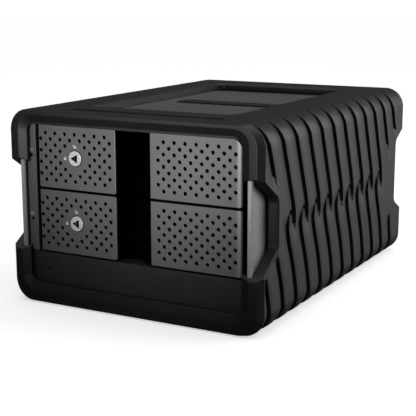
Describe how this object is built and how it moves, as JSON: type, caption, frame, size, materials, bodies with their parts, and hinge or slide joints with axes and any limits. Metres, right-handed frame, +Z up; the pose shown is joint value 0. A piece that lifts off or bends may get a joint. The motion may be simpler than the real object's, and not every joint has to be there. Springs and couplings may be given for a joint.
{
  "type": "drive enclosure",
  "caption": "Rugged desktop drive enclosure: rubber sleeve over an aluminium tube, sliding drive trays with locking latch levers and perforated faces, rear fan and sockets.",
  "frame": {"origin": "centre of the footprint, on the surface that the enclosure stands on", "axes": "+Z up, -Y towards the tray faces, +X to the right of someone who faces them"},
  "size_m": [0.157, 0.215, 0.1087],
  "materials": {
    "rubber": "matt moulded silicone rubber",
    "housing_metal": "dark anodised, fine blasted",
    "panel_metal": "satin graphite powder coat",
    "black_plastic": "fine textured black",
    "bright_steel": "nickel plated",
    "sheet_steel": "zinc plated sheet",
    "circuit_board": "solder mask",
    "drive_casting": "cast and machined",
    "light_pipe": "clear acrylic"
  },
  "bodies": {
    "enclosure": {"backplane_board": "circuit_board", "cage_floor": "sheet_steel", "cage_left_wall": "sheet_steel", "cage_right_wall": "sheet_steel", "cage_roof": "sheet_steel", "controller_board": "circuit_board", "data_port_1": "bright_steel", "data_port_2": "bright_steel", "fan_frame": "black_plastic", "fan_guard": "bright_steel", "fan_screw_1": "bright_steel", "fan_screw_2": "bright_steel", "fan_screw_3": "bright_steel", "fan_screw_4": "bright_steel", "front_fascia": "black_plastic", "heat_sink": "panel_metal", "indicator_strip": "panel_metal", "label_strip": "black_plastic", "light_pipe_lower": "light_pipe", "light_pipe_power": "light_pipe", "light_pipe_upper": "light_pipe", "lower_drive_connector": "black_plastic", "lower_left_rail": "black_plastic", "lower_right_rail": "black_plastic", "metal_housing": "housing_metal", "panel_screw_1": "bright_steel", "panel_screw_2": "bright_steel", "panel_screw_3": "bright_steel", "panel_screw_4": "bright_steel", "power_inlet": "black_plastic", "rear_panel": "panel_metal", "rubber_sleeve": "rubber", "switch_frame": "black_plastic", "upper_drive_connector": "black_plastic", "upper_left_rail": "black_plastic", "upper_right_rail": "black_plastic"},
    "upper_tray": {"upper_tray_chassis": "sheet_steel", "upper_hard_drive": "drive_casting", "upper_tray_bezel": "black_plastic", "upper_fixed_grille": "panel_metal", "upper_hinge_pin": "bright_steel"},
    "upper_latch": {"upper_latch_frame": "black_plastic", "upper_latch_grille": "panel_metal"},
    "upper_lock": {"upper_lock_cylinder": "bright_steel", "upper_lock_cam": "bright_steel"},
    "lower_tray": {"lower_tray_chassis": "sheet_steel", "lower_hard_drive": "drive_casting", "lower_tray_bezel": "black_plastic", "lower_fixed_grille": "panel_metal", "lower_hinge_pin": "bright_steel"},
    "lower_latch": {"lower_latch_frame": "black_plastic", "lower_latch_grille": "panel_metal"},
    "lower_lock": {"lower_lock_cylinder": "bright_steel", "lower_lock_cam": "bright_steel"},
    "fan": {"fan_rotor": "black_plastic"},
    "rocker": {"power_rocker": "black_plastic"},
    "dial": {"mode_dial": "black_plastic"},
    "button": {"confirm_button": "black_plastic"}
  },
  "joints": [
    {"name": "upper_tray_slide", "type": "slide", "parent": "enclosure", "child": "upper_tray", "axis": [0, -1, 0], "range_m": [0, 0.145]},
    {"name": "upper_latch_hinge", "type": "hinge", "parent": "upper_tray", "child": "upper_latch", "pos_m": [-0.0568, -0.09899, 0.0832], "axis": [0, 0, -1], "range_deg": [0, 80]},
    {"name": "upper_key_lock", "type": "hinge", "parent": "upper_latch", "child": "upper_lock", "pos_m": [-0.0361, -0.10289, 0.0832], "axis": [0, 1, 0], "range_deg": [0, 90]},
    {"name": "lower_tray_slide", "type": "slide", "parent": "enclosure", "child": "lower_tray", "axis": [0, -1, 0], "range_m": [0, 0.145]},
    {"name": "lower_latch_hinge", "type": "hinge", "parent": "lower_tray", "child": "lower_latch", "pos_m": [-0.0568, -0.09899, 0.0471], "axis": [0, 0, -1], "range_deg": [0, 80]},
    {"name": "lower_key_lock", "type": "hinge", "parent": "lower_latch", "child": "lower_lock", "pos_m": [-0.0361, -0.10289, 0.0471], "axis": [0, 1, 0], "range_deg": [0, 90]},
    {"name": "fan_spin", "type": "hinge", "parent": "enclosure", "child": "fan", "pos_m": [-0.025, 0.09311, 0.0641], "axis": [0, 1, 0], "continuous": true},
    {"name": "power_rocker_tilt", "type": "hinge", "parent": "enclosure", "child": "rocker", "pos_m": [0.054, 0.10021, 0.0211], "axis": [-1, 0, 0], "range_deg": [0, 14]},
    {"name": "mode_dial_turn", "type": "hinge", "parent": "enclosure", "child": "dial", "pos_m": [0.016, 0.10291, 0.0211], "axis": [0, 1, 0], "range_deg": [0, 135]},
    {"name": "confirm_press", "type": "slide", "parent": "enclosure", "child": "button", "axis": [0, -1, 0], "range_m": [0, 0.0012], "stiffness_N_per_m": 300, "springref_m": -0.001}
  ]
}
